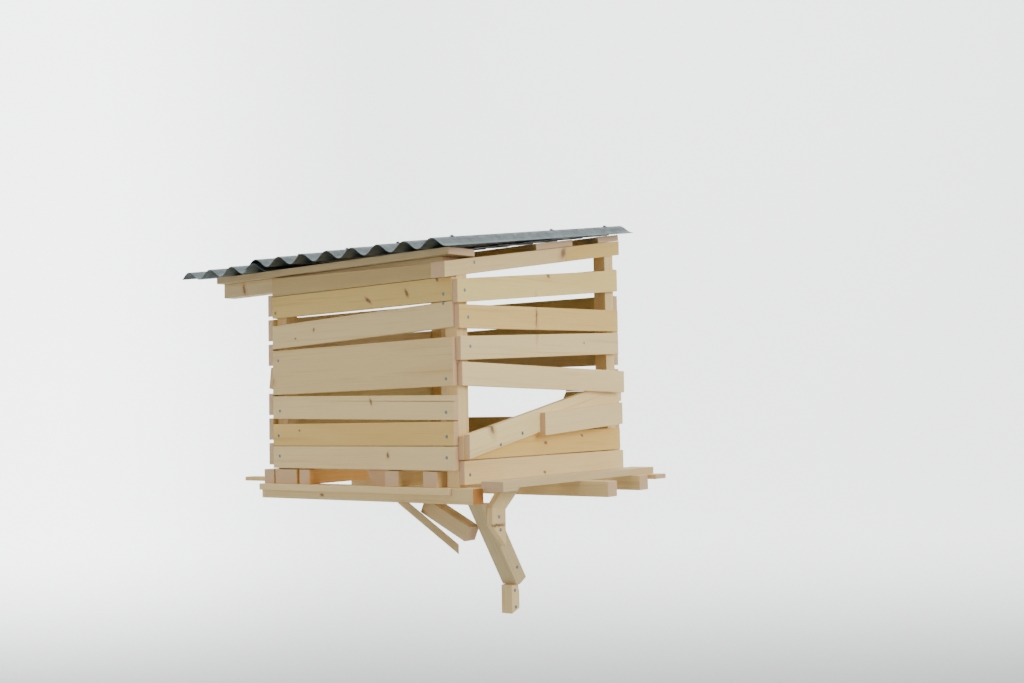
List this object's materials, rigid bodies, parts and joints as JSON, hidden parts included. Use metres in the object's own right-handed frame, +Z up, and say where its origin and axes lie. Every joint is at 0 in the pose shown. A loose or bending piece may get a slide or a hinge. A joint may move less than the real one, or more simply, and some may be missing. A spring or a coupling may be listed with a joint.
{
  "type": "tree house",
  "caption": "Small hollow tree house of crooked boards on square battens, with a corrugated sheet roof and a braced platform, held by a cleat on a tree.",
  "frame": {"origin": "centre of the lowest cleat's face that lies on the tree", "axes": "+X right along the front wall, away from the tree; +Y back along the right wall; +Z up"},
  "size_m": [0.99, 0.6491, 0.8381],
  "materials": {
    "wall_board": "raw sawn softwood with knots",
    "old_board": "raw darker softwood offcut",
    "framing": "raw sawn softwood batten",
    "floor_board": "raw sawn softwood",
    "plank": "raw planed pale softwood",
    "brace": "raw sawn softwood batten",
    "galvanised_metal": "dull galvanised with a faint spangle"
  },
  "bodies": {
    "root": {"joist_front": "framing", "joist_middle": "framing", "joist_back": "framing", "joist_lath": "plank", "bearer_outer": "framing", "bearer_left": "framing", "bearer_middle": "framing", "bearer_stub": "framing", "bearer_right": "framing", "floor_front": "floor_board", "floor_back": "floor_board", "edge_plank": "plank", "edge_shim": "plank", "lath_left": "plank", "lath_back": "plank", "post_near": "framing", "post_left": "framing", "post_back": "framing", "post_far": "framing", "front_boards_top": "wall_board", "front_board_broad": "wall_board", "front_board_split": "wall_board", "front_boards_low": "wall_board", "front_taper": "old_board", "right_boards_top": "wall_board", "right_boards_low": "wall_board", "right_prop": "wall_board", "right_slant": "wall_board", "right_short": "wall_board", "packing": "old_board", "left_boards": "wall_board", "back_boards_top": "wall_board", "back_boards_low": "wall_board", "plate_front": "framing", "rafter_right": "framing", "rafter_left": "framing", "eave_plank_front": "plank", "eave_plank_back": "plank", "roof_sheet": "galvanised_metal", "brace_long": "brace", "brace_post": "brace", "brace_kick": "brace", "brace_thin": "brace", "brace_thick": "brace", "cleat": "brace"}
  },
  "joints": []
}
